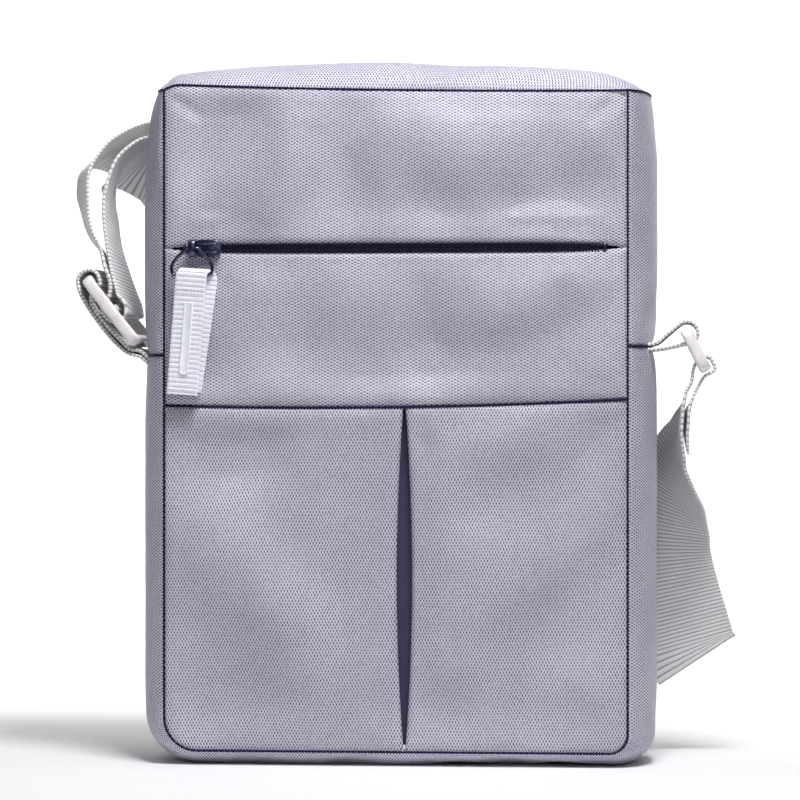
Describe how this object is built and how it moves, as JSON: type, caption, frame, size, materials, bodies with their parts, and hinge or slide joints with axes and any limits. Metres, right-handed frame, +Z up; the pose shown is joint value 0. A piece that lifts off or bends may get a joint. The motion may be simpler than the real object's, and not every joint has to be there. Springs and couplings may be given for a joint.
{
  "type": "shoulder bag",
  "caption": "Upright zipped shoulder bag in woven nylon with a pleated front pocket, side tabs and a webbing strap.",
  "frame": {"origin": "on the floor under the middle of the base", "axes": "+Z up, front pocket towards -Y, +X to the right of someone facing the front"},
  "size_m": [0.2841, 0.0922, 0.2925],
  "materials": {
    "bag_fabric": "woven nylon, slight sheen",
    "lining": "matte woven",
    "zip_tape": "matte knitted tape",
    "zip_teeth": "satin nylon coil",
    "dark_metal": "dark navy, semi-gloss",
    "pull_webbing": "ribbed webbing",
    "pull_bar": "satin",
    "strap_webbing": "ribbed webbing",
    "white_plastic": "satin moulded plastic"
  },
  "bodies": {
    "bag": {"back_panel": "bag_fabric", "front_band_panel": "bag_fabric", "front_upper_panel": "bag_fabric", "pocket_panel_left": "bag_fabric", "pocket_panel_right": "bag_fabric", "pleat_underlay": "lining", "pocket_divider": "lining", "side_gusset_left": "bag_fabric", "side_gusset_right": "bag_fabric", "lower_gusset": "bag_fabric", "top_panel_front": "bag_fabric", "top_panel_back": "bag_fabric", "front_zip_stop_left": "dark_metal", "front_zip_stop_right": "dark_metal", "front_zip_tape_lower": "zip_tape", "front_zip_tape_upper": "zip_tape", "front_zip_teeth_lower": "zip_teeth", "front_zip_teeth_upper": "zip_teeth", "main_zip_stop_left": "dark_metal", "main_zip_stop_right": "dark_metal", "main_zip_tape_back": "zip_tape", "main_zip_tape_front": "zip_tape", "main_zip_teeth_back": "zip_teeth", "main_zip_teeth_front": "zip_teeth", "side_tab_right": "strap_webbing", "strap_hang_right": "strap_webbing", "strap_run_back": "strap_webbing", "strap_tail": "strap_webbing"},
    "front_slider": {"front_zip_slider": "dark_metal"},
    "front_link": {"front_pull_link": "dark_metal"},
    "front_pull": {"front_pull_webbing": "pull_webbing", "front_pull_bar": "pull_bar"},
    "main_slider": {"main_zip_slider": "dark_metal"},
    "main_link": {"main_pull_link": "dark_metal"},
    "main_pull": {"main_pull_webbing": "pull_webbing", "main_pull_bar": "pull_bar"},
    "left_tab": {"side_tab_left": "strap_webbing", "strap_adjuster": "white_plastic", "strap_turn_left": "strap_webbing"},
    "right_ring": {"strap_ring": "white_plastic", "strap_loop_right": "strap_webbing"}
  },
  "joints": [
    {"name": "front_zip_slide", "type": "slide", "parent": "bag", "child": "front_slider", "axis": [1, 0, 0], "range_m": [0, 0.155]},
    {"name": "front_link_swing", "type": "hinge", "parent": "front_slider", "child": "front_link", "pos_m": [-0.084, -0.03695, 0.215], "axis": [-1, 0, 0], "range_deg": [0, 95]},
    {"name": "front_pull_swing", "type": "hinge", "parent": "front_link", "child": "front_pull", "pos_m": [-0.084, -0.03695, 0.204], "axis": [-1, 0, 0], "range_deg": [0, 65]},
    {"name": "main_zip_slide", "type": "slide", "parent": "bag", "child": "main_slider", "axis": [-1, 0, 0], "range_m": [0, 0.15]},
    {"name": "main_link_swing", "type": "hinge", "parent": "main_slider", "child": "main_link", "pos_m": [0.076, 0, 0.28845], "axis": [0, 1, 0], "range_deg": [0, 110]},
    {"name": "main_pull_swing", "type": "hinge", "parent": "main_link", "child": "main_pull", "pos_m": [0.065, 0, 0.28845], "axis": [0, 1, 0], "range_deg": [0, 60]},
    {"name": "left_tab_flex", "type": "hinge", "parent": "bag", "child": "left_tab", "pos_m": [-0.1079, 0, 0.172], "axis": [0, -1, 0], "range_deg": [0, 35]},
    {"name": "right_ring_swing", "type": "hinge", "parent": "bag", "child": "right_ring", "pos_m": [0.12066, 0, 0.18012], "axis": [0, -1, 0], "range_deg": [-6, 30]}
  ]
}
